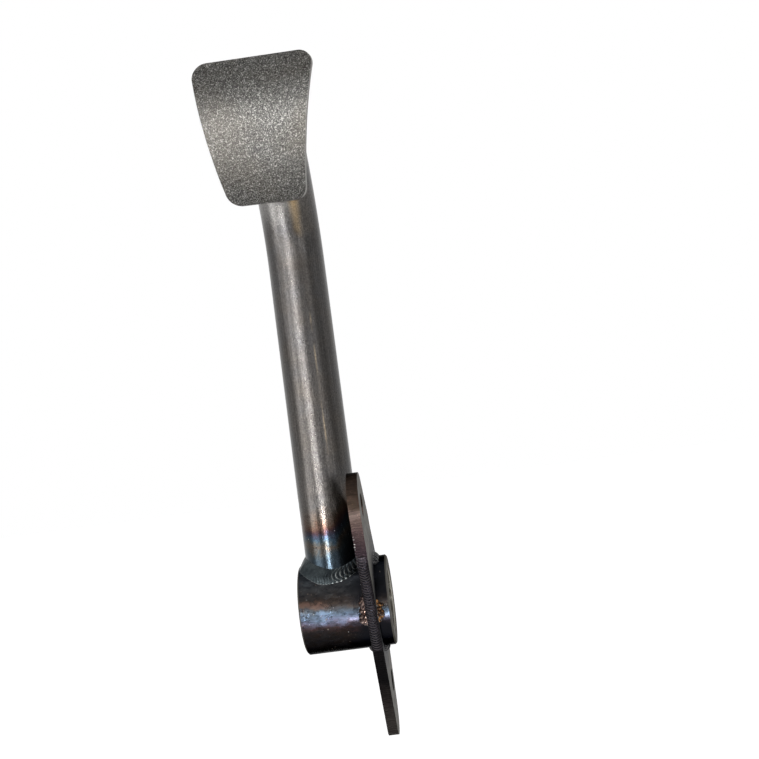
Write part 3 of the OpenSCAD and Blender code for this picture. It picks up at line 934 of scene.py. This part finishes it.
# the third colour of each bead is its painted highlight on the puddles' lips
bluedBead = weldFinish("bluedBead", tint(38, 43, 46), tint(60, 66, 68), tint(156, 159, 158))
outerBead = weldFinish("strawBead", tint(26, 26, 28), tint(52, 52, 54), tint(96, 94, 92),
                       (tint(44, 30, 24), tint(178, 128, 78)))
innerBead = weldFinish("roseBead", tint(28, 27, 29), tint(54, 51, 52), tint(104, 96, 92),
                       (tint(62, 49, 47), tint(142, 118, 108)))
outerSweeps = [leverBead(1, **stitch) for stitch in stitches["outer"]]
innerSweeps = [leverBead(-1, **stitch) for stitch in stitches["inner"]]

joinBead("footWeld", [footBead()], bluedBead, "weld_arm_foot")
joinBead("leverWeldOuter", outerSweeps, outerBead, "weld_lever_outer")
joinBead("leverWeldInner", innerSweeps, innerBead, "weld_lever_inner")
joinBead("padWeld", [padBead()], bluedBead, "weld_pad")
print("welds laid")


# built-up run down the plate's front edge, where the arm's weld goes on over it
edgeRun = {
    "top": 31.0, "bottom": -24.0,   # heights in mm
    "pitch": 1.5,
    "steps": 10,
    "across": 12,
    "proud": 0.65,                  # height of the run's middle over the edge, in mm
    "inset": 0.15,                  # from the plate's faces, in mm
    "sunk": 0.05,                   # how far its rim lies inside the plate, in mm
    "thick": 0.4,                   # from its rim to its back inside the plate, in mm
    "taper": 6.0,                   # length of its fading ends, in mm
    "sag": 1.6,                     # how far the ripples bow down in the middle, in mm
    "valley": 0.55,
    "lumps": 0.25,
}


def edgeRunPiece():
    plate, run = nodes["lever_plate"], edgeRun
    length = run["top"] - run["bottom"]
    rows = round(length / run["pitch"]) * run["steps"]
    left, right = shape["leverX"] + run["inset"], shape["leverX"] + shape["leverT"] - run["inset"]
    points, faces, lips = [], [], []
    for i in range(rows + 1):
        down = length * i / rows
        z = run["top"] - down
        fadeOut = min(1.0, min(down, length - down) / run["taper"])
        before = Vector((shape["leverX"] + shape["leverT"] / 2, -90.0, z)) * mm
        edge = plate.ray_cast(before, Vector((0, 1, 0)))[1]
        for k in range(run["across"] + 1):
            t = k / run["across"]
            dome = 1.0 - (2 * t - 1) ** 4
            ahead = down - run["sag"] * (1.0 - (2 * t - 1) ** 2)
            level = ripple(ahead / run["pitch"], run["valley"])
            level += run["lumps"] * noise.noise(Vector((t * 2.0, z * 0.35, 4.0)))
            lift = run["proud"] * fadeOut * dome * level - run["sunk"]
            points.append((mm * (left + (right - left) * t), edge.y - lift * mm, z * mm))
            lips.append(lipTint(ahead / run["pitch"]))
    width = run["across"] + 1
    for i in range(rows):
        for k in range(run["across"]):
            a = i * width + k
            faces.append((a, a + 1, a + 1 + width, a + width))
    # a back just inside the plate closes the run
    start = len(points)
    for i in range(rows + 1):
        for k in (0, run["across"]):
            x, y, z = points[i * width + k]
            points.append((x, y + run["thick"] * mm, z))
            lips.append(0.0)
    for i in range(rows):
        a, b = start + 2 * i, start + 2 * i + 2
        rim, rimNext = i * width, (i + 1) * width
        faces.append((rim, rimNext, b, a))
        faces.append((rim + run["across"], a + 1, b + 1, rimNext + run["across"]))
        faces.append((a, b, b + 1, a + 1))
    faces.append(tuple(range(run["across"], -1, -1)) + (start, start + 1))
    last, lastBack = rows * width, start + 2 * rows
    faces.append(tuple(last + k for k in range(width)) + (lastBack + 1, lastBack))
    return points, faces, lips


runBead = weldFinish("edgeRunBead", tint(18, 17, 19), tint(34, 30, 33), tint(88, 82, 86))
joinBead("edgeRun", [edgeRunPiece()], runBead)
print("edge run laid")


# spatter: small round drops thrown on the steel by the welding
spatter = {
    "seed": 11,
    "hubDrops": 9, "hubX": (-23.0, 11.0), "hubZ": (-12.0, 14.0),     # areas in mm
    "armDrops": 6, "armX": (-17.0, 8.0), "armZ": (30.0, 52.0),
    "cornerDrops": 13, "cornerX": (0.1, 0.6), "cornerZ": (25.0, 42.0),
    "radius": (0.16, 0.42),                     # in mm
    "flat": (0.55, 0.85),                       # height of a drop, part of its width
    "dull": tint(54, 56, 60),
    "bright": tint(150, 148, 146),
}


def spatterAims(dice):
    # where each drop is thrown from, in mm: straight at the front of a node
    aims = []
    for i in range(spatter["hubDrops"]):
        aims.append(("pivot_hub", (dice.uniform(*spatter["hubX"]), -60.0, dice.uniform(*spatter["hubZ"]))))
    for i in range(spatter["armDrops"]):
        aims.append(("arm_tube", (dice.uniform(*spatter["armX"]), -60.0, dice.uniform(*spatter["armZ"]))))
    low, high = spatter["cornerZ"]
    for i in range(spatter["cornerDrops"]):
        z = low + (high - low) * (i + dice.random()) / spatter["cornerDrops"]
        aims.append(("lever_plate", (shape["leverX"] + dice.uniform(*spatter["cornerX"]), -90.0, z)))
    return aims


def spatterPiece():
    dice = random.Random(spatter["seed"])
    drops = bmesh.new()
    for node, source in spatterAims(dice):
        hit, spot, normal = nodes[node].ray_cast(Vector(source) * mm, Vector((0, 1, 0)))[:3]
        radius = dice.uniform(*spatter["radius"]) * mm
        if not hit:
            continue
        squeeze = Matrix.Diagonal((1.0, 1.0, dice.uniform(*spatter["flat"]), 1.0))
        turned = normal.to_track_quat("Z", "Y").to_matrix().to_4x4()
        place = Matrix.Translation(spot + normal * radius * 0.25) @ turned @ squeeze
        bmesh.ops.create_icosphere(drops, subdivisions=2, radius=radius, matrix=place)
    mesh = bpy.data.meshes.new("spatter")
    drops.to_mesh(mesh)
    drops.free()
    for face in mesh.polygons:
        face.use_smooth = True
    piece = bpy.data.objects.new("spatter", mesh)
    bpy.context.scene.collection.objects.link(piece)
    return piece


def spatterFinish():
    mat, tree, shader, place = startMetal("spatterSteel")
    patch = speckle(tree, place, 260.0)
    colour = blendColour(tree, remap(tree, patch, 0.4, 0.6), spatter["dull"], spatter["bright"])
    finishMetal(tree, shader, colour, remap(tree, patch, 0.3, 0.7, 0.18, 0.34))
    return mat


spatterDrops = spatterPiece()
dress(spatterDrops, spatterFinish())
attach(spatterDrops, "root")
print("spatter thrown")


# view settings
bpy.context.scene.view_settings.view_transform = "Standard"
bpy.context.view_layer.update()
